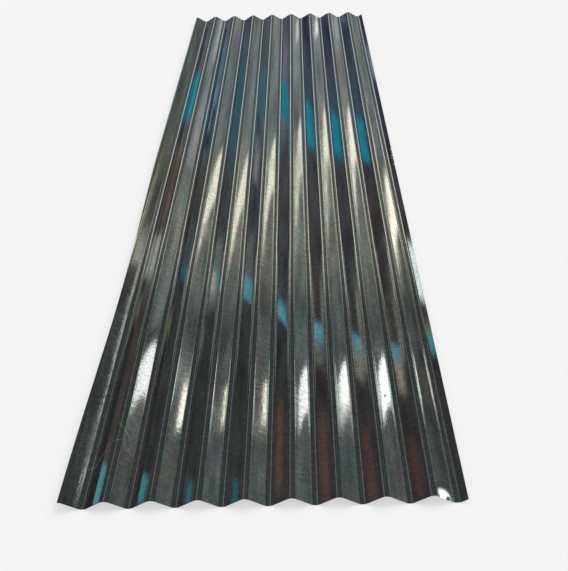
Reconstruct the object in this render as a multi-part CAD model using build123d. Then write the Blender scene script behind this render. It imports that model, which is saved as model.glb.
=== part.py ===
# One corrugated galvanised steel sheet, lying flat with its waves running along Y.
# Millimetres, +Z up. The origin is on the floor, under the middle of the sheet.

import math
import os

from build123d import *

# Driving dimensions
sheet_length = 2440.0  # 8 ft stock length, along the waves
sheet_width = 665.0  # overall, across the waves
sheet_thickness = 0.5  # steel with its zinc coat
wave_pitch = 76.2  # crest to crest, the 3 inch corrugation
wave_depth = 18.0  # top of a crest to top of a valley
flank_angle = 31.0  # slope of the straight flank between two bends, in degrees
full_crests = 8  # the left edge is the middle of one more crest

# Sizes that follow from the pitch, the depth and the flank's slope
slope = math.radians(flank_angle)
half_sheet = sheet_thickness / 2
half_wave = wave_pitch / 2
bend_radius = (
    (half_wave * math.tan(slope) - wave_depth)
    * math.cos(slope)
    / (2 * (1 - math.cos(slope)))
)  # middle of the thickness, the same at crests and valleys
flank_length = (half_wave - 2 * bend_radius * math.sin(slope)) / math.cos(slope)

# The left edge is cut in the middle of a crest, and the right one part of the way up a flank.
left_edge = -sheet_width / 2
crest_height = half_sheet + wave_depth  # middle of the thickness at a crest
last_valley = left_edge + (full_crests + 0.5) * wave_pitch
right_edge = sheet_width / 2 - half_sheet * math.sin(slope)  # middle of the thickness
last_flank = (right_edge - last_valley - bend_radius * math.sin(slope)) / math.cos(slope)


def skin(shift):
    # One face of the sheet, from the left edge to the right, shift above the middle of the
    # thickness. Crests turn clockwise and valleys anticlockwise, so an upper face has the
    # larger radius at its crests and the smaller one at its valleys.
    bend = JernArc((left_edge, crest_height + shift), (1, 0), bend_radius + shift, -flank_angle)
    edges = [bend]
    for turn in range(2 * full_crests + 1):
        flank = Line(bend @ 1, bend @ 1 + (bend % 1) * flank_length)
        if turn % 2 == 0:
            bend = JernArc(flank @ 1, flank % 1, bend_radius - shift, 2 * flank_angle)
        else:
            bend = JernArc(flank @ 1, flank % 1, bend_radius + shift, -2 * flank_angle)
        edges.append(flank)
        edges.append(bend)
    edges.append(Line(bend @ 1, bend @ 1 + (bend % 1) * last_flank))
    return edges


# The section, closed by the two sheared side edges, which are square to the sheet
upper = skin(half_sheet)
lower = skin(-half_sheet)
left_cut = Line(lower[0] @ 0, upper[0] @ 0)
right_cut = Line(upper[-1] @ 1, lower[-1] @ 1)
section = make_face(upper + [right_cut] + lower + [left_cut])

# The rolled sheet, cut square at both ends
corrugated_sheet = extrude(Plane.XZ * section, amount=sheet_length / 2, both=True)
corrugated_sheet.label = "corrugated_sheet"

os.makedirs("parts", exist_ok=True)
export_step(corrugated_sheet, "parts/corrugated_sheet.step")

box = corrugated_sheet.bounding_box()
print("bend radius", round(bend_radius, 2), "flank", round(flank_length, 2))
print("last flank", round(last_flank, 2), "volume", round(corrugated_sheet.volume))
print("low", box.min, "high", box.max)
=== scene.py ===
import math

import bmesh
import bpy
from mathutils import Matrix, Vector


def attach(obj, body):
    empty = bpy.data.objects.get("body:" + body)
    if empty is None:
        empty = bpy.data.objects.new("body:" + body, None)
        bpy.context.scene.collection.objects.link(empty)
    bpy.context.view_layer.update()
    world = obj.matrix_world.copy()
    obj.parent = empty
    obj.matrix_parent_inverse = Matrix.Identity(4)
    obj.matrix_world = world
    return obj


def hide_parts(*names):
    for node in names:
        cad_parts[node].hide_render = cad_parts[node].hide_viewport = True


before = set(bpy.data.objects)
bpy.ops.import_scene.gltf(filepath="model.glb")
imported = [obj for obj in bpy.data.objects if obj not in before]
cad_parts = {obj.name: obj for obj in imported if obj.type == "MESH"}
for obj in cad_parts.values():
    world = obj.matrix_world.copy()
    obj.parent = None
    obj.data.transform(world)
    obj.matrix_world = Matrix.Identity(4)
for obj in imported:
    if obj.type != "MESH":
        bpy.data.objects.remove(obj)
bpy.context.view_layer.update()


# Small helpers that every node tree below uses

def feed(tree, socket, value):  # a socket takes either another node's output or a plain value
    if isinstance(value, bpy.types.NodeSocket):
        tree.links.new(value, socket)
    elif value is not None:
        socket.default_value = value


def addNode(tree, kind, inputs=None, **settings):
    node = tree.nodes.new(kind)
    for name, value in settings.items():
        setattr(node, name, value)
    for name, value in (inputs or {}).items():
        feed(tree, node.inputs[name], value)
    return node


def maths(tree, operation, *values):  # one Math node
    node = addNode(tree, "ShaderNodeMath", operation=operation)
    for socket, value in zip(node.inputs, values):
        feed(tree, socket, value)
    return node.outputs[0]


def vectors(tree, operation, *values, output=0):  # one Vector Math node
    node = addNode(tree, "ShaderNodeVectorMath", operation=operation)
    for socket, value in zip(node.inputs, values):
        feed(tree, socket, value)
    return node.outputs[output]


def ease(tree, value, start, end, low=0.0, high=1.0):  # smooth step from low to high
    settings = {"Value": value, "From Min": start, "From Max": end, "To Min": low, "To Max": high}
    node = addNode(tree, "ShaderNodeMapRange", settings, interpolation_type="SMOOTHSTEP")
    return node.outputs["Result"]


def blendColours(tree, amount, first, second, kind="MIX"):
    node = addNode(tree, "ShaderNodeMix", data_type="RGBA", blend_type=kind)
    feed(tree, node.inputs[0], amount)
    feed(tree, node.inputs[6], first)
    feed(tree, node.inputs[7], second)
    return node.outputs[2]


# Where the photographer stood, and the lens
cameraSizes = {
    "place": (0.0802, -2.0763, 1.0641),  # metres
    "lookDown": 36.0,  # degrees
    "turnRight": -1.91,
    "roll": -2.62,
    "lens": 51.34,  # millimetres
    "sensor": 36.0,  # millimetres wide
    "farthest": 500.0,  # metres, past the tent
}


def setUpCamera(sizes):
    down = math.radians(sizes["lookDown"])
    turn = math.radians(sizes["turnRight"])
    roll = math.radians(sizes["roll"])
    ahead = Vector((math.sin(turn) * math.cos(down), math.cos(turn) * math.cos(down), -math.sin(down)))
    right = Vector((math.cos(turn), -math.sin(turn), 0.0))
    up = right.cross(ahead)
    rolledRight = right * math.cos(roll) + up * math.sin(roll)
    rolledUp = up * math.cos(roll) - right * math.sin(roll)
    lens = bpy.data.cameras.new("sheetCamera")
    lens.lens = sizes["lens"]
    lens.sensor_width = sizes["sensor"]
    lens.clip_end = sizes["farthest"]
    camera = bpy.data.objects.new("sheetCamera", lens)
    turned = Matrix((rolledRight, rolledUp, -ahead)).transposed().to_4x4()
    camera.matrix_world = Matrix.Translation(sizes["place"]) @ turned
    bpy.context.collection.objects.link(camera)
    bpy.context.scene.camera = camera


setUpCamera(cameraSizes)
print("camera placed")


# The zinc coat. Heights are metres of bump, gaps and places are metres on the sheet.
zincFinish = {
    "darkZinc": (0.36, 0.38, 0.37, 1.0),
    "paleZinc": (0.60, 0.62, 0.605, 1.0),
    "greenFilm": (0.95, 1.03, 0.98, 1.0),  # faint tints that a thin film of damp and oil gives
    "pinkFilm": (1.05, 0.965, 1.03, 1.0),
    "roughness": 0.045,
    "dullRoughness": 0.10,  # where the film dulls the coat
    "spangleSize": 0.0042,  # across a zinc crystal
    "spangleHeight": 0.000008,
    "rollLineGap": 0.0022,  # between the fine lines that the rolls leave along the sheet
    "rollLineHeight": 0.000008,
    "rollLineLength": 0.5,
    "broadLineSize": (0.009, 1.1, 1.0),  # sizes of these patterns: across, along and up
    "dullSize": (0.05, 0.16, 1.0),
    "filmSize": (0.016, 0.06, 1.0),
    "grainSize": (0.004, 0.012, 1.0),
    # faint ripples across the sheet: a real bump, whose shade is also painted into the colour as faint lines
    "chatterWidth": 0.03,
    "chatterGap": 0.0085,  # between the faint ripples across it
    "chatterHeight": 0.00001,
    "chatterFrom": 0.35,  # the ripples fade in from this y towards the near end
    "chatterFull": -0.35,
    "scratchWidth": 0.0009,
    "scratchStrength": 0.22,
    "scratchColour": (0.62, 0.63, 0.62, 1.0),
    "bloomColour": (0.60, 0.61, 0.59, 1.0),  # chalky white rust
    "speck": (0.2205, -0.979, 0.0032, 0.0045),  # x, y, reach across, reach along
    "speckColour": (0.02, 0.02, 0.02, 1.0),
}
scratches = {  # from, to: x and y of each end
    "arcStart": ((-0.311, -1.131), (-0.300, -1.136)),
    "arcTurn": ((-0.300, -1.136), (-0.289, -1.131)),
    "arcRise": ((-0.289, -1.131), (-0.270, -1.085)),
    "arcEnd": ((-0.270, -1.085), (-0.251, -1.083)),
    "straight": ((-0.246, -1.088), (-0.229, -1.111)),
    "crossing": ((-0.262, -1.040), (-0.236, -1.075)),
}
blooms = {  # x, y, reach across, reach along
    "leftEdgeLong": (-0.331, -0.52, 0.006, 0.16),
    "leftEdgeShort": (-0.330, -0.72, 0.005, 0.05),
    "rightEdge": (0.331, -0.02, 0.004, 0.07),
}


def strokeMask(tree, x, y, start, end, width):  # 1 on a straight stroke from start to end
    runX, runY = end[0] - start[0], end[1] - start[1]
    squared = runX * runX + runY * runY
    offX = maths(tree, "SUBTRACT", x, start[0])
    offY = maths(tree, "SUBTRACT", y, start[1])
    along = maths(tree, "ADD", maths(tree, "MULTIPLY", offX, runX / squared),
                  maths(tree, "MULTIPLY", offY, runY / squared))
    along = maths(tree, "MINIMUM", maths(tree, "MAXIMUM", along, 0.0), 1.0)
    leftX = maths(tree, "SUBTRACT", offX, maths(tree, "MULTIPLY", along, runX))
    leftY = maths(tree, "SUBTRACT", offY, maths(tree, "MULTIPLY", along, runY))
    away = maths(tree, "SQRT", maths(tree, "ADD", maths(tree, "MULTIPLY", leftX, leftX),
                                     maths(tree, "MULTIPLY", leftY, leftY)))
    return ease(tree, away, width * 0.3, width, 1.0, 0.0)


def patchMask(tree, x, y, patch):  # 1 in the middle of an oval patch, 0 at its rim
    offX = maths(tree, "DIVIDE", maths(tree, "SUBTRACT", x, patch[0]), patch[2])
    offY = maths(tree, "DIVIDE", maths(tree, "SUBTRACT", y, patch[1]), patch[3])
    away = maths(tree, "ADD", maths(tree, "MULTIPLY", offX, offX), maths(tree, "MULTIPLY", offY, offY))
    return ease(tree, away, 0.0, 1.0, 1.0, 0.0)


def noiseAt(tree, place, gaps, detail=1.0):  # soft noise whose features are gaps wide, long and high
    scaled = vectors(tree, "DIVIDE", place, gaps)
    return addNode(tree, "ShaderNodeTexNoise",
                   {"Vector": scaled, "Scale": 1.0, "Detail": detail}).outputs[0]


def makeZincFinish(finish):
    material = bpy.data.materials.new("galvanisedZinc")
    material.use_nodes = True
    tree = material.node_tree
    tree.nodes.clear()
    place = addNode(tree, "ShaderNodeTexCoord").outputs["Object"]
    spot = addNode(tree, "ShaderNodeSeparateXYZ", {"Vector": place}).outputs
    x, y = spot["X"], spot["Y"]

    # patterns
    crystals = addNode(tree, "ShaderNodeTexVoronoi",
                       {"Vector": place, "Scale": 1.0 / finish["spangleSize"]}).outputs
    crystalShade = addNode(tree, "ShaderNodeSeparateColor", {"Color": crystals["Color"]}).outputs[0]
    rollLines = noiseAt(tree, place, (finish["rollLineGap"], finish["rollLineLength"], 1.0), 2.0)
    broadLines = noiseAt(tree, place, finish["broadLineSize"], 1.0)
    chatter = noiseAt(tree, place, (finish["chatterWidth"], finish["chatterGap"], 1.0), 1.0)
    dullness = noiseAt(tree, place, finish["dullSize"], 2.0)
    film = noiseAt(tree, place, finish["filmSize"], 2.0)
    rippling = ease(tree, y, finish["chatterFull"], finish["chatterFrom"], 1.0, 0.25)

    # marks
    scratched = 0.0
    for start, end in scratches.values():
        stroke = strokeMask(tree, x, y, start, end, finish["scratchWidth"])
        scratched = maths(tree, "MAXIMUM", scratched, stroke)
    scratched = maths(tree, "MULTIPLY", scratched, finish["scratchStrength"])
    chalky = 0.0
    for patch in blooms.values():
        chalky = maths(tree, "MAXIMUM", chalky, patchMask(tree, x, y, patch))
    grain = noiseAt(tree, place, finish["grainSize"], 2.0)
    chalky = maths(tree, "MULTIPLY", chalky, ease(tree, grain, 0.42, 0.62))
    speck = patchMask(tree, x, y, finish["speck"])

    # colour
    shade = maths(tree, "ADD", maths(tree, "MULTIPLY", crystalShade, 0.55),
                  maths(tree, "MULTIPLY", rollLines, 0.45))
    broad = maths(tree, "MULTIPLY", maths(tree, "SUBTRACT", broadLines, 0.5), 0.5)
    shade = maths(tree, "ADD", shade, broad)
    # the ripples lighten and darken the colour in faint lines, which is painted shade of the ripples, beside
    # their real bump further down
    rippleBumpAndShade = maths(tree, "MULTIPLY", maths(tree, "SUBTRACT", chatter, 0.5), rippling)
    shade = maths(tree, "ADD", shade, maths(tree, "MULTIPLY", rippleBumpAndShade, 0.6))
    tint = blendColours(tree, shade, finish["darkZinc"], finish["paleZinc"])
    filmTint = blendColours(tree, ease(tree, film, 0.35, 0.65), finish["greenFilm"], finish["pinkFilm"])
    tint = blendColours(tree, 1.0, tint, filmTint, "MULTIPLY")
    tint = blendColours(tree, scratched, tint, finish["scratchColour"])
    tint = blendColours(tree, chalky, tint, finish["bloomColour"])
    tint = blendColours(tree, speck, tint, finish["speckColour"])

    # gloss
    dull = ease(tree, dullness, 0.45, 0.75)
    roughness = maths(tree, "ADD", finish["roughness"],
                      maths(tree, "MULTIPLY", dull, finish["dullRoughness"] - finish["roughness"]))
    roughness = maths(tree, "ADD", roughness, maths(tree, "MULTIPLY", scratched, 0.5))
    roughness = maths(tree, "ADD", roughness, maths(tree, "MULTIPLY", chalky, 0.6))
    metallic = maths(tree, "SUBTRACT", 1.0, maths(tree, "MAXIMUM", scratched, chalky))

    # relief
    height = maths(tree, "MULTIPLY", rollLines, finish["rollLineHeight"])
    bumps = maths(tree, "MULTIPLY", crystals["Distance"], finish["spangleHeight"])
    height = maths(tree, "ADD", height, bumps)
    height = maths(tree, "ADD", height, maths(tree, "MULTIPLY", rippleBumpAndShade, finish["chatterHeight"]))
    bump = addNode(tree, "ShaderNodeBump", {"Strength": 1.0, "Distance": 1.0, "Height": height})

    shader = addNode(tree, "ShaderNodeBsdfPrincipled", {
        "Base Color": tint,
        "Metallic": metallic,
        "Roughness": roughness,
        "Normal": bump.outputs[0],
    })
    output = addNode(tree, "ShaderNodeOutputMaterial")
    tree.links.new(shader.outputs[0], output.inputs["Surface"])
    return material


zincMaterial = makeZincFinish(zincFinish)
print("zinc finish made")


# The rolled sheet
sheetSizes = {
    "Length": 2.44,  # metres, along the waves
    "Width": 0.665,
    "Thickness": 0.0005,
    "Pitch": 0.0762,
    "Depth": 0.018,
    "Flank Angle": math.radians(31.0),
    "Bend Steps": 5,  # faces across half a crest or valley
    "Flank Steps": 8,  # faces across a flank, the narrowest next to the bends
    "Columns": 316,  # points across the waves: 17 half waves, a bend and four flank faces more
    "Rows": 121,  # points along them, closer together towards the near end
    "Row Crowding": 1.35,
    "Flank Bow": 0.00005,  # how far a flank bows, which makes it steeper towards the valley
    "Breathing": 0.012,  # how much the depth varies along the sheet, as a share
    "Left Edge Trim": 0.007,  # the most that is missing from the left edge
    "Lip Length": 0.016,  # the near end of the last crest's flank is knocked down over this length
    "Lip Drop": 0.0014,
}
sheetDetails = {  # metres, unless said
    "trimPlace": -0.6,  # y where most of the left edge is missing
    "trimFull": 0.05,  # how far from there it stays so
    "trimEnd": 0.62,  # and where it has ended
    "trimReach": 0.03,  # how far across the sheet the trim is felt
    "lipAcross": (0.005, 0.010, 0.020, 0.027),  # past the crest: starts, full, fades, gone
    "breathAcross": 14.0,  # waves of the varying depth in a metre
    "breathAlong": 4.0,
    "insideSide": 0.00003,  # keeps the sheet just inside its own box
    "insideCrest": 0.00002,
    "insideEnds": 0.99995,  # as a share of the length
    "joinWithin": 0.00002,
    "hardEdge": 0.8,  # radians
}


def makeSheetTree(details):
    tree = bpy.data.node_groups.new("corrugateSheet", "GeometryNodeTree")
    face = tree.interface
    face.new_socket("Geometry", in_out="OUTPUT", socket_type="NodeSocketGeometry")
    for name, value in sheetSizes.items():
        whole = isinstance(value, int)
        face.new_socket(name, in_out="INPUT",
                        socket_type="NodeSocketInt" if whole else "NodeSocketFloat")
    face.new_socket("Finish", in_out="INPUT", socket_type="NodeSocketMaterial")
    given = addNode(tree, "NodeGroupInput").outputs
    out = addNode(tree, "NodeGroupOutput")
    length, width, thickness = given["Length"], given["Width"], given["Thickness"]
    pitch, depth, angle = given["Pitch"], given["Depth"], given["Flank Angle"]

    # sizes that follow from the pitch, the depth and the flank's slope
    halfWave = maths(tree, "DIVIDE", pitch, 2.0)
    rise = maths(tree, "TANGENT", angle)
    cosine = maths(tree, "COSINE", angle)
    spare = maths(tree, "SUBTRACT", maths(tree, "MULTIPLY", halfWave, rise), depth)
    spare = maths(tree, "MULTIPLY", spare, cosine)
    radius = maths(tree, "DIVIDE", spare, maths(tree, "MULTIPLY", maths(tree, "SUBTRACT", 1.0, cosine), 2.0))
    reach = maths(tree, "MULTIPLY", radius, maths(tree, "SINE", angle))  # half a bend, across
    squared = maths(tree, "MULTIPLY", radius, radius)

    def bendDrop(across):  # how far a bend falls at a distance from its middle
        inside = maths(tree, "SUBTRACT", squared, maths(tree, "MULTIPLY", across, across))
        return maths(tree, "SUBTRACT", radius, maths(tree, "SQRT", inside))

    straight = maths(tree, "SUBTRACT", halfWave, maths(tree, "MULTIPLY", reach, 2.0))
    trim = maths(tree, "MULTIPLY", maths(tree, "MULTIPLY", thickness, 0.5), maths(tree, "SINE", angle))
    span = maths(tree, "SUBTRACT", maths(tree, "SUBTRACT", width, trim), details["insideSide"])
    grid = addNode(tree, "GeometryNodeMeshGrid", {
        "Size X": 1.0,
        "Size Y": 1.0,
        "Vertices X": given["Columns"],
        "Vertices Y": given["Rows"],
    })
    spot = addNode(tree, "ShaderNodeSeparateXYZ",
                   {"Vector": addNode(tree, "GeometryNodeInputPosition").outputs[0]}).outputs
    crowded = maths(tree, "POWER", maths(tree, "ADD", spot["Y"], 0.5), given["Row Crowding"])
    y = maths(tree, "MULTIPLY", maths(tree, "SUBTRACT", crowded, 0.5), length)
    y = maths(tree, "MULTIPLY", y, details["insideEnds"])

    # columns fall on the joins between bends and flanks, so that each keeps its own slope
    column = maths(tree, "MULTIPLY", maths(tree, "ADD", spot["X"], 0.5),
                   maths(tree, "SUBTRACT", given["Columns"], 1.0))
    column = maths(tree, "ROUND", column)
    bendSteps, flankSteps = given["Bend Steps"], given["Flank Steps"]
    halfSteps = maths(tree, "ADD", flankSteps, maths(tree, "MULTIPLY", bendSteps, 2.0))
    wavesDone = maths(tree, "FLOOR", maths(tree, "DIVIDE", column, halfSteps))
    step = maths(tree, "SUBTRACT", column, maths(tree, "MULTIPLY", wavesDone, halfSteps))
    firstBend = maths(tree, "MINIMUM", maths(tree, "DIVIDE", step, bendSteps), 1.0)
    flankShare = maths(tree, "DIVIDE", maths(tree, "SUBTRACT", step, bendSteps), flankSteps)
    lastBend = maths(tree, "SUBTRACT", maths(tree, "SUBTRACT", step, bendSteps), flankSteps)
    lastBend = maths(tree, "MAXIMUM", maths(tree, "DIVIDE", lastBend, bendSteps), 0.0)
    firstSine = maths(tree, "SINE", maths(tree, "MULTIPLY", angle, firstBend))
    lastSine = maths(tree, "SINE", maths(tree, "MULTIPLY", angle, maths(tree, "SUBTRACT", 1.0, lastBend)))
    bends = maths(tree, "MULTIPLY", radius, maths(tree, "SUBTRACT", firstSine, lastSine))
    bends = maths(tree, "ADD", bends, reach)
    flank = maths(tree, "MULTIPLY", straight, ease(tree, flankShare, 0.0, 1.0))
    across = maths(tree, "ADD", maths(tree, "MULTIPLY", wavesDone, halfWave), bends)
    across = maths(tree, "MINIMUM", maths(tree, "ADD", across, flank), span)  # from the left edge

    # the left edge is cut a little short
    fromTrim = maths(tree, "ABSOLUTE", maths(tree, "SUBTRACT", y, details["trimPlace"]))
    bulge = ease(tree, fromTrim, details["trimFull"], details["trimEnd"], 1.0, 0.0)
    missing = maths(tree, "MULTIPLY", given["Left Edge Trim"], bulge)
    nearness = ease(tree, across, 0.0, details["trimReach"], 1.0, 0.0)
    across = maths(tree, "ADD", across, maths(tree, "MULTIPLY", missing, nearness))

    fromCrest = maths(tree, "PINGPONG", across, halfWave)
    fromValley = maths(tree, "SUBTRACT", halfWave, fromCrest)
    along = maths(tree, "MAXIMUM", maths(tree, "SUBTRACT", fromCrest, reach), 0.0)
    along = maths(tree, "MINIMUM", along, straight)
    drop = maths(tree, "ADD", bendDrop(maths(tree, "MINIMUM", fromCrest, reach)),
                maths(tree, "MULTIPLY", along, rise))
    drop = maths(tree, "ADD", drop, maths(tree, "SUBTRACT", bendDrop(reach),
                                        bendDrop(maths(tree, "MINIMUM", fromValley, reach))))
    share = maths(tree, "DIVIDE", along, straight)
    bow = maths(tree, "MULTIPLY", share, maths(tree, "SUBTRACT", 1.0, share))
    bow = maths(tree, "MULTIPLY", bow, maths(tree, "MULTIPLY", given["Flank Bow"], 4.0))
    drop = maths(tree, "SUBTRACT", drop, bow)
    offMiddle = maths(tree, "SUBTRACT", maths(tree, "DIVIDE", depth, 2.0), drop)

    # the depth breathes a little along the sheet, always inwards
    stretched = addNode(tree, "ShaderNodeCombineXYZ", {
        "X": maths(tree, "MULTIPLY", across, details["breathAcross"]),
        "Y": maths(tree, "MULTIPLY", y, details["breathAlong"]),
    }).outputs[0]
    breath = addNode(tree, "ShaderNodeTexNoise",
                     {"Vector": stretched, "Scale": 1.0, "Detail": 1.0}).outputs[0]
    keep = maths(tree, "SUBTRACT", 1.0, maths(tree, "MULTIPLY", breath, given["Breathing"]))
    halfUp = maths(tree, "ADD", maths(tree, "DIVIDE", depth, 2.0), maths(tree, "DIVIDE", thickness, 2.0))
    height = maths(tree, "ADD", maths(tree, "MULTIPLY", offMiddle, keep), halfUp)

    # the lip at the near end of the last crest's flank
    lipStart, lipFull, lipFade, lipGone = details["lipAcross"]
    pastCrest = maths(tree, "SUBTRACT", across, maths(tree, "MULTIPLY", pitch, 8.0))
    onFlank = maths(tree, "MULTIPLY", ease(tree, pastCrest, lipStart, lipFull),
                    ease(tree, pastCrest, lipFade, lipGone, 1.0, 0.0))
    fromEnd = maths(tree, "ADD", y, maths(tree, "DIVIDE", length, 2.0))
    turned = maths(tree, "SUBTRACT", 1.0, maths(tree, "DIVIDE", fromEnd, given["Lip Length"]))
    turned = maths(tree, "MAXIMUM", turned, 0.0)
    lip = maths(tree, "MULTIPLY", maths(tree, "MULTIPLY", turned, onFlank), given["Lip Drop"])
    height = maths(tree, "SUBTRACT", height, lip)
    across = maths(tree, "MAXIMUM", across, details["insideCrest"])
    placed = addNode(tree, "ShaderNodeCombineXYZ", {
        "X": maths(tree, "SUBTRACT", across, maths(tree, "DIVIDE", width, 2.0)),
        "Y": y,
        "Z": height,
    }).outputs[0]
    middle = addNode(tree, "GeometryNodeSetPosition", {"Geometry": grid.outputs["Mesh"], "Position": placed})

    # two faces and the cut edges between them
    normal = addNode(tree, "GeometryNodeInputNormal").outputs[0]
    down = addNode(tree, "ShaderNodeVectorMath", {"Vector": normal}, operation="SCALE")
    feed(tree, down.inputs["Scale"], maths(tree, "MULTIPLY", thickness, -0.5))
    lower = addNode(tree, "GeometryNodeSetPosition",
                    {"Geometry": middle.outputs[0], "Offset": down.outputs[0]})
    raised = addNode(tree, "GeometryNodeExtrudeMesh",
                     {"Mesh": lower.outputs[0], "Offset Scale": thickness, "Individual": False})
    flipped = addNode(tree, "GeometryNodeFlipFaces", {"Mesh": lower.outputs[0]})
    both = addNode(tree, "GeometryNodeJoinGeometry")
    tree.links.new(raised.outputs["Mesh"], both.inputs[0])
    tree.links.new(flipped.outputs[0], both.inputs[0])
    closed = addNode(tree, "GeometryNodeMergeByDistance",
                     {"Geometry": both.outputs[0], "Distance": details["joinWithin"]})
    smooth = addNode(tree, "GeometryNodeSetShadeSmooth", {"Geometry": closed.outputs[0]}, domain="FACE")
    edgeAngle = addNode(tree, "GeometryNodeInputMeshEdgeAngle").outputs["Unsigned Angle"]
    turnsHard = addNode(tree, "FunctionNodeCompare",
                        {"A": edgeAngle, "B": details["hardEdge"]}, operation="GREATER_THAN")
    creased = addNode(tree, "GeometryNodeSetShadeSmooth", {
        "Geometry": smooth.outputs[0],
        "Selection": turnsHard.outputs[0],
        "Shade Smooth": False,
    }, domain="EDGE")
    whole = addNode(tree, "GeometryNodeRealizeInstances", {"Geometry": creased.outputs[0]})
    dressed = addNode(tree, "GeometryNodeSetMaterial",
                      {"Geometry": whole.outputs[0], "Material": given["Finish"]})
    tree.links.new(dressed.outputs[0], out.inputs[0])
    return tree


def makeSheet(sizes, material):
    tree = makeSheetTree(sheetDetails)
    holder = bpy.data.objects.new("sheetHolder", bpy.data.meshes.new("sheetHolder"))
    bpy.context.collection.objects.link(holder)
    maker = holder.modifiers.new("corrugate", "NODES")
    maker.node_group = tree
    values = dict(sizes, Finish=material)
    for item in tree.interface.items_tree:
        if item.in_out == "INPUT":
            maker[item.identifier] = values[item.name]
    evaluated = holder.evaluated_get(bpy.context.evaluated_depsgraph_get())
    mesh = bpy.data.meshes.new_from_object(evaluated)
    mesh.name = "corrugatedSheetMetal"
    bpy.data.objects.remove(holder)
    sheet = bpy.data.objects.new("corrugatedSheetMetal", mesh)
    bpy.context.collection.objects.link(sheet)
    if not mesh.materials:
        mesh.materials.append(material)
    return sheet


sheet = makeSheet(sheetSizes, zincMaterial)
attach(sheet, "root")
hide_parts("corrugated_sheet")
print("sheet rolled:", len(sheet.data.polygons), "faces")


# Floor, world and lamp
studioSizes = {
    "floorWidth": 160.0,  # metres
    "floorColour": (0.9, 0.9, 0.895, 1.0),
    "floorGlow": 0.5,  # the share of plain white in the floor as it is seen
    "skyLevel": 0.62,  # light from all round, on matt surfaces
    "backdropLevel": 0.91,  # the sky as it is seen, as pale as the floor
    "lampLevel": 1.15,
    "lampSoftness": 50.0,  # degrees across
    "lampTilt": (-24.0, 28.0),  # degrees from overhead, about X and Y
}


def seenDirectly(tree):  # camera, glossy and transmission rays see the plain background
    rays = addNode(tree, "ShaderNodeLightPath").outputs
    total = maths(tree, "ADD", rays["Is Camera Ray"], rays["Is Glossy Ray"])
    total = maths(tree, "ADD", total, rays["Is Transmission Ray"])
    return maths(tree, "MINIMUM", total, 1.0)


def makeFloor(sizes):
    half = sizes["floorWidth"] / 2
    mesh = bpy.data.meshes.new("studioFloor")
    corners = [(-half, -half, 0), (half, -half, 0), (half, half, 0), (-half, half, 0)]
    mesh.from_pydata(corners, [], [(0, 1, 2, 3)])
    floor = bpy.data.objects.new("studioFloor", mesh)
    bpy.context.collection.objects.link(floor)
    material = bpy.data.materials.new("paleFloor")
    material.use_nodes = True
    tree = material.node_tree
    tree.nodes.clear()
    matt = addNode(tree, "ShaderNodeBsdfDiffuse", {"Color": sizes["floorColour"]})
    glow = addNode(tree, "ShaderNodeEmission", {"Color": (1.0, 1.0, 1.0, 1.0), "Strength": 1.0})
    mix = addNode(tree, "ShaderNodeMixShader")
    feed(tree, mix.inputs[0], maths(tree, "MULTIPLY", seenDirectly(tree), sizes["floorGlow"]))
    tree.links.new(matt.outputs[0], mix.inputs[1])
    tree.links.new(glow.outputs[0], mix.inputs[2])
    output = addNode(tree, "ShaderNodeOutputMaterial")
    tree.links.new(mix.outputs[0], output.inputs["Surface"])
    mesh.materials.append(material)


def lightStudio(sizes):
    world = bpy.data.worlds.new("studioWorld")
    bpy.context.scene.world = world
    world.use_nodes = True
    tree = world.node_tree
    tree.nodes.clear()
    level = ease(tree, seenDirectly(tree), 0.0, 1.0, sizes["skyLevel"], sizes["backdropLevel"])
    glow = addNode(tree, "ShaderNodeBackground", {"Color": (1.0, 1.0, 1.0, 1.0), "Strength": level})
    output = addNode(tree, "ShaderNodeOutputWorld")
    tree.links.new(glow.outputs[0], output.inputs["Surface"])
    lamp = bpy.data.lights.new("softLamp", "SUN")
    lamp.energy = sizes["lampLevel"]
    lamp.angle = math.radians(sizes["lampSoftness"])
    holder = bpy.data.objects.new("softLamp", lamp)
    holder.rotation_euler = [math.radians(turn) for turn in (*sizes["lampTilt"], 0.0)]
    holder.visible_glossy = False
    bpy.context.collection.objects.link(holder)


makeFloor(studioSizes)
lightStudio(studioSizes)
print("studio lit")


# What the bright metal mirrors: a dim tent with soft cards of light, met by glossy rays alone.
# A place on the tent is (roll, rise). Roll is degrees from overhead towards the right, round the
# sheet's length, and rise is degrees from the far end of the sheet's long axis. The cards are aimed
# from the camera's place above, so they belong to that view, and sideTent serves the others.
farTent = {  # roll: light there, above the sheet's far part
    -90: (0.14, 0.13, 0.12),
    -79: (0.14, 0.13, 0.12),
    -77: (0.12, 0.15, 0.20),
    -73: (0.085, 0.11, 0.14),
    -69: (0.085, 0.11, 0.13),
    -65: (0.17, 0.18, 0.22),
    -60.5: (0.050, 0.055, 0.085),
    -52: (0.050, 0.058, 0.085),
    -40: (0.060, 0.065, 0.09),
    -33: (0.09, 0.10, 0.12),
    -27: (0.90, 0.92, 0.97),
    -18: (0.80, 0.80, 0.84),
    -11: (0.20, 0.23, 0.23),
    14: (0.16, 0.19, 0.19),
    21: (0.09, 0.10, 0.10),
    33: (0.09, 0.10, 0.09),
    39: (0.13, 0.15, 0.14),
    43: (0.14, 0.16, 0.15),
    45.5: (0.32, 0.35, 0.36),
    49: (0.20, 0.22, 0.22),
    53: (0.26, 0.28, 0.28),
    70: (0.26, 0.28, 0.28),
    74: (0.19, 0.22, 0.21),
    90: (0.19, 0.22, 0.21),
}
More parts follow.
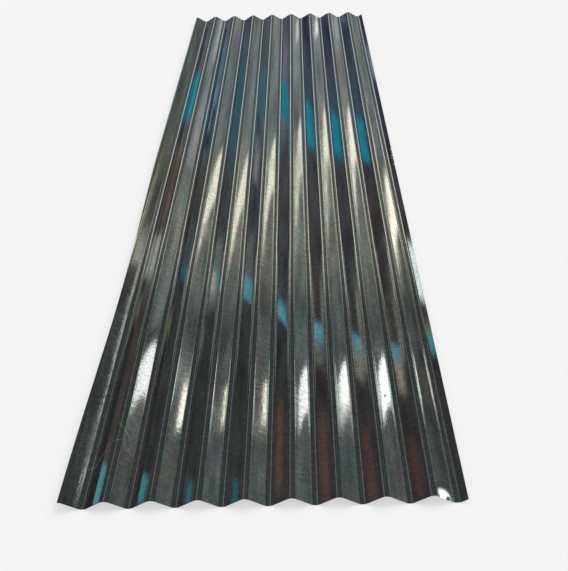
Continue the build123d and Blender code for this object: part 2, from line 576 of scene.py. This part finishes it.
middleTent = {  # above its middle
    -90: (0.15, 0.125, 0.105),
    -79: (0.15, 0.125, 0.105),
    -77: (0.080, 0.092, 0.090),
    -69: (0.085, 0.092, 0.100),
    -61: (0.085, 0.080, 0.088),
    -52: (0.065, 0.058, 0.064),
    -40: (0.075, 0.070, 0.074),
    -32: (0.085, 0.080, 0.084),
    -27: (1.15, 1.12, 1.02),
    -20: (1.05, 1.05, 0.92),
    -13: (0.16, 0.18, 0.16),
    12: (0.19, 0.21, 0.17),
    20: (0.08, 0.08, 0.07),
    33: (0.08, 0.08, 0.06),
    37: (0.30, 0.24, 0.12),
    40: (0.13, 0.14, 0.12),
    43: (0.15, 0.16, 0.14),
    45.5: (0.34, 0.37, 0.36),
    49: (0.19, 0.20, 0.18),
    53: (0.24, 0.25, 0.21),
    70: (0.24, 0.25, 0.22),
    74: (0.17, 0.18, 0.15),
    90: (0.17, 0.18, 0.15),
}
nearTent = {  # and above its near part
    -90: (0.095, 0.080, 0.072),
    -79: (0.095, 0.080, 0.072),
    -77: (0.050, 0.057, 0.055),
    -65: (0.055, 0.057, 0.057),
    -52: (0.055, 0.050, 0.052),
    -40: (0.060, 0.060, 0.062),
    -28: (0.08, 0.085, 0.085),
    -23: (0.32, 0.34, 0.33),
    -19: (0.12, 0.13, 0.13),
    -12: (0.06, 0.07, 0.07),
    12: (0.07, 0.09, 0.08),
    30: (0.05, 0.06, 0.055),
    42: (0.07, 0.08, 0.08),
    47: (0.14, 0.155, 0.15),
    70: (0.14, 0.155, 0.15),
    74: (0.08, 0.085, 0.08),
    90: (0.08, 0.085, 0.08),
}
sideTent = {  # and above the sheet's sides and behind its near end, for every other view
    -90: (0.20, 0.22, 0.23),
    -60: (0.27, 0.29, 0.30),
    -40: (0.35, 0.37, 0.38),
    -28: (0.95, 0.98, 0.98),
    -14: (0.45, 0.47, 0.47),
    10: (0.60, 0.63, 0.63),
    28: (0.40, 0.42, 0.42),
    42: (1.00, 1.02, 1.00),
    58: (0.74, 0.77, 0.77),
    76: (0.60, 0.63, 0.63),
    90: (0.24, 0.26, 0.27),
}
white = (1.0, 1.0, 0.98)
cream = (1.0, 0.95, 0.78)
gold = (1.0, 0.82, 0.48)
mist = (0.88, 0.95, 1.0)
olive = (0.62, 0.60, 0.42)
teal = (0.02, 0.36, 0.49)
deepTeal = (0.06, 0.155, 0.19)
paleTeal = (0.22, 0.75, 0.95)
endTeal = (0.20, 0.72, 0.76)
# rust names a colour here: a reddish light in the tent
rust = (0.26, 0.14, 0.135)
mirrorCards = {  # wave, side, y at crest side, middle and valley side, length, colour, level, from, to
    "glint1": (1, "right", (-0.945, -0.895, -0.905), 0.15, white, 1.8, -1.1, 1.1),
    "glint2": (2, "right", (-1.040, -1.000, -0.990), 0.12, cream, 2.4, 0.0, 1.0),
    "glint3": (3, "right", (-1.010, -1.000, -0.995), 0.10, cream, 2.4, 0.4, 0.9),
    "glint4": (4, "right", (-1.010, -1.000, -0.995), 0.11, cream, 2.6, 0.25, 0.8),
    "glint5": (5, "right", (-1.035, -0.970, -0.965), 0.12, white, 1.9, -0.8, 1.0),
    "glint6": (6, "right", (-1.030, -0.960, -0.955), 0.12, white, 2.2, -0.8, 1.0),
    "glint7": (7, "right", (-1.015, -0.950, -0.950), 0.13, white, 2.4, -0.8, 0.9),
    "sheen1": (1, "right", (0.120, 0.150, 0.180), 0.36, (0.97, 0.96, 1.0), 0.50, -0.9, 1.0),
    "sheenNear1": (1, "right", (-0.700, -0.670, -0.640), 0.17, mist, 0.30, -0.9, 1.0),
    "cream2": (2, "right", (-0.370, -0.150, -0.115), 0.28, cream, 1.55, -1.3, 1.1),
    "cream3": (3, "right", (-0.420, -0.200, -0.140), 0.28, cream, 1.50, -1.3, 1.1),
    "cream4": (4, "right", (-0.365, -0.100, -0.065), 0.29, cream, 1.55, -1.3, 1.1),
    "cream5": (5, "right", (-0.330, -0.010, 0.045), 0.31, cream, 1.45, -1.3, 1.1),
    "cream6": (6, "right", (-0.320, 0.060, 0.115), 0.32, cream, 1.55, -1.3, 1.1),
    "cream7": (7, "right", (-0.260, 0.070, 0.105), 0.34, (1.0, 0.92, 0.84), 1.70, -1.3, 1.1),
    "cream8": (8, "right", (-0.500, -0.305, -0.265), 0.29, cream, 2.0, -1.3, 1.1),
    "goldLine": (0, "right", (-0.300, -0.300, -0.300), 0.50, gold, 0.9, -1.15, -0.95),
    "farHaze5": (5, "right", (1.050, 1.000, 0.950), 0.40, mist, 0.40, -0.6, 0.8),
    "farHaze6": (6, "right", (1.050, 1.000, 0.950), 0.40, mist, 0.42, -0.7, 0.8),
    "farPale1": (1, "right", (1.050, 1.020, 1.000), 0.50, (0.9, 1.0, 1.05), 0.62, -0.2, 1.0),
    "farPale7": (7, "right", (0.950, 1.020, 1.100), 0.34, mist, 0.55, -0.5, 0.7),
    "farGlint5": (5, "right", (1.070, 1.060, 1.050), 0.24, white, 1.5, 0.0, 0.45),
    "farGlint6": (6, "right", (1.120, 1.100, 1.080), 0.20, white, 2.6, -0.15, 0.4),
    "patch0": (0, "right", (-0.450, -0.460, -0.470), 0.13, (0.95, 0.95, 0.80), 0.55, -0.9, 0.5),
    "whiteLine0": (0, "right", (-0.900, -0.900, -0.900), 0.66, white, 2.2, 0.54, 0.66),
    "dusk5": (5, "left", (0.500, 0.510, 0.520), 0.32, (0.085, 0.12, 0.15), 0.9, -1.2, 1.2),
    "dusk6": (6, "left", (0.460, 0.470, 0.480), 0.42, (0.085, 0.12, 0.15), 0.95, -1.2, 1.2),
    "dusk7": (7, "left", (0.420, 0.430, 0.440), 0.50, (0.085, 0.12, 0.15), 0.95, -1.2, 1.2),
    "teal0": (0, "left", (0.430, 0.440, 0.450), 0.36, teal, 1.05, -1.5, 2.5),
    "spot0": (0, "left", (-0.500, -0.500, -0.500), 0.17, (0.98, 1.0, 0.88), 0.55, -1.5, 2.5),
    "blue1": (1, "left", (0.620, 0.640, 0.660), 0.62, (0.14, 0.28, 0.38), 0.85, -1.2, 1.2),
    "navy1": (1, "left", (0.190, 0.200, 0.210), 0.30, (0.065, 0.10, 0.16), 0.5, -1.2, 1.2),
    "blueStreak1": (1, "left", (0.330, 0.340, 0.350), 0.36, (0.36, 0.46, 0.55), 1.0, -0.1, 0.6),
    "teal2": (2, "left", (0.300, 0.330, 0.360), 0.80, deepTeal, 0.9, -1.1, 1.1),
    "teal3": (3, "left", (0.420, 0.465, 0.480), 0.42, deepTeal, 1.2, -1.1, 0.6),
    "pale3": (3, "left", (-0.030, -0.030, -0.030), 0.26, (0.60, 0.62, 0.56), 0.60, -0.5, 0.4),
    "teal4": (4, "left", (0.350, 0.385, 0.422), 0.31, teal, 0.85, -1.0, 1.0),
    "teal5": (5, "left", (0.165, 0.200, 0.240), 0.31, teal, 0.95, -1.0, 1.0),
    "teal6": (6, "left", (0.100, 0.125, 0.150), 0.29, teal, 0.95, -1.0, 1.0),
    "teal7": (7, "left", (0.075, 0.083, 0.090), 0.28, teal, 1.0, -1.0, 1.0),
    "spotTeal1": (1, "left", (-0.520, -0.520, -0.520), 0.12, (0.01, 0.09, 0.14), 1.0, -0.1, 0.7),
    "farEdge7": (7, "left", (1.190, 1.190, 1.190), 0.10, (0.20, 0.27, 0.31), 0.8, -1.2, 1.2),
    "farEdge6": (6, "left", (1.200, 1.200, 1.200), 0.08, (0.14, 0.18, 0.22), 0.8, -1.2, 1.2),
    "spot1": (1, "left", (-0.580, -0.550, -0.500), 0.07, paleTeal, 0.25, -1.0, -0.1),
    "pale2": (2, "left", (-0.560, -0.575, -0.590), 0.27, (0.75, 0.80, 0.75), 0.36, -0.9, 0.8),
    "pale3Near": (3, "left", (-0.500, -0.540, -0.580), 0.22, (0.72, 0.76, 0.72), 0.27, -0.7, 0.8),
    "glow2": (2, "left", (-0.620, -0.610, -0.600), 0.08, cream, 0.70, -0.5, 0.7),
    "spot2": (2, "left", (-0.600, -0.590, -0.580), 0.07, paleTeal, 0.45, -1.0, -0.3),
    "spot3": (3, "left", (-0.655, -0.635, -0.620), 0.08, paleTeal, 0.60, -1.0, 1.0),
    "spot4": (4, "left", (-0.750, -0.718, -0.710), 0.06, paleTeal, 0.70, -1.0, 0.9),
    "cup5": (5, "left", (-0.675, -0.790, -0.675), 0.16, (0.90, 0.92, 0.80), 0.50, -1.15, 1.15),
    "core5": (5, "left", (-0.620, -0.740, -0.620), 0.20, (0.065, 0.057, 0.060), 1.0, -0.8, 0.8),
    "spot5": (5, "left", (-0.800, -0.790, -0.780), 0.055, paleTeal, 0.70, -0.8, 0.7),
    "cup6": (6, "left", (-0.710, -0.825, -0.710), 0.16, (0.90, 0.92, 0.80), 0.55, -1.15, 1.15),
    "core6": (6, "left", (-0.655, -0.775, -0.655), 0.20, (0.065, 0.057, 0.060), 1.0, -0.8, 0.8),
    "spot6": (6, "left", (-0.840, -0.830, -0.820), 0.05, paleTeal, 0.65, -0.6, 0.6),
    "cup7": (7, "left", (-0.735, -0.850, -0.735), 0.16, (0.90, 0.92, 0.80), 0.60, -1.15, 1.15),
    "core7": (7, "left", (-0.680, -0.800, -0.680), 0.20, (0.065, 0.057, 0.060), 1.0, -0.8, 0.8),
    "spot7": (7, "left", (-0.870, -0.860, -0.850), 0.045, paleTeal, 0.60, -0.5, 0.6),
    "tip5": (5, "left", (-0.820, -0.870, -0.820), 0.05, cream, 0.30, -0.5, 0.5),
    "tip6": (6, "left", (-0.860, -0.910, -0.860), 0.06, cream, 0.36, -0.5, 0.5),
    "tip7": (7, "left", (-0.890, -0.940, -0.890), 0.08, cream, 0.42, -0.6, 0.6),
    "end0": (0, "left", (-1.185, -1.180, -1.175), 0.09, endTeal, 0.62, -1.2, 1.2),
    "end1": (1, "left", (-1.195, -1.190, -1.185), 0.06, endTeal, 0.50, -0.8, 0.4),
    "end2": (2, "left", (-1.205, -1.200, -1.195), 0.05, paleTeal, 0.35, -0.8, -0.1),
    "end3": (3, "left", (-1.205, -1.200, -1.190), 0.05, paleTeal, 0.25, -0.8, 0.0),
    "edgeLight": (8, "left", (-0.600, -0.590, -0.570), 0.22, (0.9, 1.0, 1.0), 1.6, -0.4, 1.0),
    "edgePale": (8, "left", (0.700, 0.700, 0.700), 0.30, (0.7, 0.85, 1.0), 0.40, -0.4, 1.0),
    "edgeTeal": (8, "left", (-0.835, -0.835, -0.835), 0.06, paleTeal, 0.50, -0.4, 1.0),
    # reddish light that the near ends of the dark flanks four to seven mirror as reddish patches, a painted
    # reflection
    "reddishLight4": (4, "left", (-1.090, -1.110, -1.120), 0.20, (0.27, 0.17, 0.13), 0.60, -0.6, 0.5),
    "reddishLight5": (5, "left", (-1.120, -1.130, -1.140), 0.20, rust, 0.62, -0.6, 0.5),
    "reddishLight6": (6, "left", (-1.150, -1.150, -1.150), 0.16, rust, 0.60, -0.5, 0.5),
    "reddishLight7": (7, "left", (-1.160, -1.160, -1.160), 0.14, rust, 0.45, -0.6, 0.6),
}
bounceCards = {  # y, length, colour and level, for what the first dark flank shows by way of its neighbour
    "tealBounce": (0.440, 0.36, teal, 1.05),
    "brownBounce": (-0.160, 0.50, (0.20, 0.17, 0.14), 1.0),
    "spotBounce": (-0.500, 0.17, (0.98, 1.0, 0.88), 0.8),
}
lineCards = {  # middle, half size, slant, bend, edges, colour and level, in degrees of roll and rise
    "archLeft": ((-42.0, 39.6), (15.0, 0.8), -0.15, 0.0, (3.0, 0.8), olive, 0.5),
    "crestShade": ((-11.0, 37.8), (7.0, 4.0), 0.0, 0.0, (2.0, 1.2), (0.045, 0.05, 0.045), 1.0),
    "creamLine": ((37.0, 34.0), (1.6, 3.6), -0.15, 0.0, (0.8, 1.4), cream, 1.2),
    "lipLight": ((74.0, 58.5), (9.0, 5.0), 0.0, 0.0, (3.0, 2.0), white, 2.6),
}
tentBands = {  # degrees of rise, and of roll for bounceRoll
    "middleFrom": 24.5,
    "middleTo": 29.5,
    "nearFrom": 33.0,
    "nearTo": 38.5,
    "sideFrom": 63.0,
    "sideTo": 74.0,
    "bounceRoll": -35.0,
}
cardEdges = {  # how softly a card ends, in degrees of roll, and in rise as a share of its half rise
    "roll": 0.25,
    "rise": 0.22,
    "bounceHalf": 3.5,  # half the width of a bounce card, in degrees of roll
    "bounceRoll": 1.0,
}
tentRadius = 400.0  # metres
tentClouds = {  # uneven light, so that no part of the tent is flat
    "cloudRoll": 1.7,  # degrees across one cloud
    "cloudRise": 3.2,
    "faint": 0.55,  # the light between clouds and in them, as a share
    "strong": 1.55,
    "contrast": (0.25, 0.75),  # the noise where the light is faint and where it is strong
    "tintContrast": (0.38, 0.62),
    "tintScale": 0.35,  # the tints are in larger patches
    "cool": (0.92, 1.02, 1.05, 1.0),
    "warm": (1.07, 0.98, 0.96, 1.0),
}


def flankMirror(wave, side, y, across):  # the place on the tent that the camera sees mirrored in a flank
    angle, pitch, depth = sheetSizes["Flank Angle"], sheetSizes["Pitch"], sheetSizes["Depth"]
    radius = (pitch / 2 * math.tan(angle) - depth) * math.cos(angle) / (2 * (1 - math.cos(angle)))
    straight = pitch / 2 - 2 * radius * math.sin(angle)
    slope = math.tan(angle) + 4 * sheetSizes["Flank Bow"] * across / straight
    turn = 1 if side == "right" else -1  # a right flank falls to the right
    middle = (wave + 0.5 - 0.25 * turn) * pitch - sheetSizes["Width"] / 2
    fromX = middle + turn * across * straight / 2 - cameraSizes["place"][0]
    fromY = y - cameraSizes["place"][1]
    height = cameraSizes["place"][2] - sheetSizes["Depth"] / 2
    roll = 2 * turn * math.degrees(math.atan(slope)) + math.degrees(math.atan(fromX / height))
    return roll, math.degrees(math.atan(math.hypot(fromX, height) / fromY))


def aimCard(wave, side, ys, length, colour, level, start, end):  # a card by where a flank shows it
    crestRoll, crestRise = flankMirror(wave, side, ys[0], -1.0)
    middleRoll, middleRise = flankMirror(wave, side, ys[1], 0.0)
    valleyRoll, valleyRise = flankMirror(wave, side, ys[2], 1.0)
    spread = (valleyRoll - crestRoll) / 2
    slant = (valleyRise - crestRise) / 2 / spread
    bend = ((valleyRise + crestRise) / 2 - middleRise) / spread / spread
    nearRise = flankMirror(wave, side, ys[1] - length / 2, 0.0)[1]
    farRise = flankMirror(wave, side, ys[1] + length / 2, 0.0)[1]
    halfRise = (nearRise - farRise) / 2
    shift = spread * (start + end) / 2  # the card's own middle, off the flank's
    rise = middleRise + slant * shift + bend * shift * shift
    halfRoll = abs(spread) * (end - start) / 2
    slant += 2 * bend * shift
    edges = (cardEdges["roll"], cardEdges["rise"] * halfRise)
    return (middleRoll + shift, rise), (halfRoll, halfRise), slant, bend, edges, colour, level


def aimBounce(y, length, colour, level):  # the same for light that comes by way of the next flank
    nearRise = flankMirror(0, "left", y - length / 2, 0.0)[1]
    farRise = flankMirror(0, "left", y + length / 2, 0.0)[1]
    halfRise = (nearRise - farRise) / 2
    middle = (tentBands["bounceRoll"], (nearRise + farRise) / 2)
    edges = (cardEdges["bounceRoll"], cardEdges["rise"] * halfRise)
    return middle, (cardEdges["bounceHalf"], halfRise), 0.0, 0.0, edges, colour, level


def makeCardGroup():  # lays one soft-edged card, slanting or bent, over the light so far
    group = bpy.data.node_groups.new("softCard", "ShaderNodeTree")
    face = group.interface
    face.new_socket("Light", in_out="INPUT", socket_type="NodeSocketColor")
    for name in ("Roll", "Rise", "Middle Roll", "Middle Rise", "Half Roll", "Half Rise",
                 "Slant", "Bend", "Roll Edge", "Rise Edge", "Level"):
        face.new_socket(name, in_out="INPUT", socket_type="NodeSocketFloat")
    face.new_socket("Colour", in_out="INPUT", socket_type="NodeSocketColor")
    face.new_socket("Light", in_out="OUTPUT", socket_type="NodeSocketColor")
    given = addNode(group, "NodeGroupInput").outputs
    out = addNode(group, "NodeGroupOutput")
    aside = maths(group, "SUBTRACT", given["Roll"], given["Middle Roll"])
    above = maths(group, "SUBTRACT", given["Rise"], given["Middle Rise"])
    curve = maths(group, "ADD", given["Slant"], maths(group, "MULTIPLY", aside, given["Bend"]))
    above = maths(group, "SUBTRACT", above, maths(group, "MULTIPLY", aside, curve))
    masks = []
    for offset, half, edge in ((aside, given["Half Roll"], given["Roll Edge"]),
                               (above, given["Half Rise"], given["Rise Edge"])):
        inner = maths(group, "SUBTRACT", half, edge)
        outer = maths(group, "ADD", half, edge)
        masks.append(ease(group, maths(group, "ABSOLUTE", offset), inner, outer, 1.0, 0.0))
    lit = addNode(group, "ShaderNodeVectorMath", operation="SCALE")
    feed(group, lit.inputs[0], given["Colour"])
    feed(group, lit.inputs["Scale"], given["Level"])
    mixed = blendColours(group, maths(group, "MULTIPLY", *masks), given["Light"], lit.outputs[0])
    group.links.new(mixed, out.inputs[0])
    return group


def hangCard(tree, group, light, roll, rise, card):
    middle, half, slant, bend, edges, colour, level = card
    node = addNode(tree, "ShaderNodeGroup", node_tree=group)
    values = {
        "Light": light,
        "Roll": roll,
        "Rise": rise,
        "Middle Roll": middle[0],
        "Middle Rise": middle[1],
        "Half Roll": half[0],
        "Half Rise": half[1],
        "Slant": slant,
        "Bend": bend,
        "Roll Edge": edges[0],
        "Rise Edge": edges[1],
        "Level": level,
        "Colour": (*colour, 1.0),
    }
    for name, value in values.items():
        feed(tree, node.inputs[name], value)
    return node.outputs["Light"]


def makeRamp(tree, level, colours):
    ramp = addNode(tree, "ShaderNodeValToRGB", {"Fac": level})
    stops = ramp.color_ramp.elements
    rolls = sorted(colours)
    stops[0].position = 0.0
    stops[1].position = 1.0
    stops[0].color = (*colours[rolls[0]], 1.0)
    stops[1].color = (*colours[rolls[-1]], 1.0)
    for angle in rolls[1:-1]:
        stop = stops.new((angle + 90.0) / 180.0)
        stop.color = (*colours[angle], 1.0)
    return ramp.outputs["Color"]


def cloudLight(tree, roll, rise, light, sizes):  # breaks up the even light, in strength and in tint
    spot = addNode(tree, "ShaderNodeCombineXYZ", {
        "X": maths(tree, "DIVIDE", roll, sizes["cloudRoll"]),
        "Y": maths(tree, "DIVIDE", rise, sizes["cloudRise"]),
    }).outputs[0]
    cloud = addNode(tree, "ShaderNodeTexNoise", {"Vector": spot, "Scale": 1.0, "Detail": 2.0}).outputs[0]
    broad = addNode(tree, "ShaderNodeTexNoise",
                    {"Vector": spot, "Scale": sizes["tintScale"], "Detail": 1.0}).outputs[0]
    tint = blendColours(tree, ease(tree, broad, *sizes["tintContrast"]), sizes["cool"], sizes["warm"])
    scaled = addNode(tree, "ShaderNodeVectorMath", operation="SCALE")
    feed(tree, scaled.inputs[0], tint)
    strength = ease(tree, cloud, *sizes["contrast"], sizes["faint"], sizes["strong"])
    feed(tree, scaled.inputs["Scale"], strength)
    return vectors(tree, "MULTIPLY", light, scaled.outputs[0])


def makeTent():
    shell = bmesh.new()
    bmesh.ops.create_icosphere(shell, subdivisions=4, radius=tentRadius)
    mesh = bpy.data.meshes.new("reflectionTent")
    shell.to_mesh(mesh)
    shell.free()
    tent = bpy.data.objects.new("reflectionTent", mesh)
    bpy.context.collection.objects.link(tent)
    material = bpy.data.materials.new("tentLight")
    material.use_nodes = True
    tree = material.node_tree
    tree.nodes.clear()
    place = addNode(tree, "ShaderNodeTexCoord").outputs["Object"]
    way = addNode(tree, "ShaderNodeSeparateXYZ", {"Vector": vectors(tree, "NORMALIZE", place)}).outputs
    roll = maths(tree, "DEGREES", maths(tree, "ARCTAN2", way["X"], way["Z"]))
    rise = maths(tree, "DEGREES", maths(tree, "ARCCOSINE", way["Y"]))
    level = addNode(tree, "ShaderNodeMapRange",
                    {"Value": roll, "From Min": -90.0, "From Max": 90.0}).outputs["Result"]
    toMiddle = ease(tree, rise, tentBands["middleFrom"], tentBands["middleTo"])
    toNear = ease(tree, rise, tentBands["nearFrom"], tentBands["nearTo"])
    light = blendColours(tree, toMiddle, makeRamp(tree, level, farTent), makeRamp(tree, level, middleTent))
    light = blendColours(tree, toNear, light, makeRamp(tree, level, nearTent))
    light = cloudLight(tree, roll, rise, light, tentClouds)
    toSide = ease(tree, rise, tentBands["sideFrom"], tentBands["sideTo"])
    light = blendColours(tree, toSide, light, makeRamp(tree, level, sideTent))
    group = makeCardGroup()
    for card in lineCards.values():
        light = hangCard(tree, group, light, roll, rise, card)
    for card in bounceCards.values():
        light = hangCard(tree, group, light, roll, rise, aimBounce(*card))
    for card in mirrorCards.values():
        light = hangCard(tree, group, light, roll, rise, aimCard(*card))
    glow = addNode(tree, "ShaderNodeEmission", {"Color": light, "Strength": 1.0})
    output = addNode(tree, "ShaderNodeOutputMaterial")
    tree.links.new(glow.outputs[0], output.inputs["Surface"])
    mesh.materials.append(material)
    for ray in ("visible_camera", "visible_diffuse", "visible_transmission",
                "visible_volume_scatter", "visible_shadow"):
        setattr(tent, ray, False)


makeTent()
print("tent hung")

bpy.context.scene.view_settings.view_transform = "Standard"
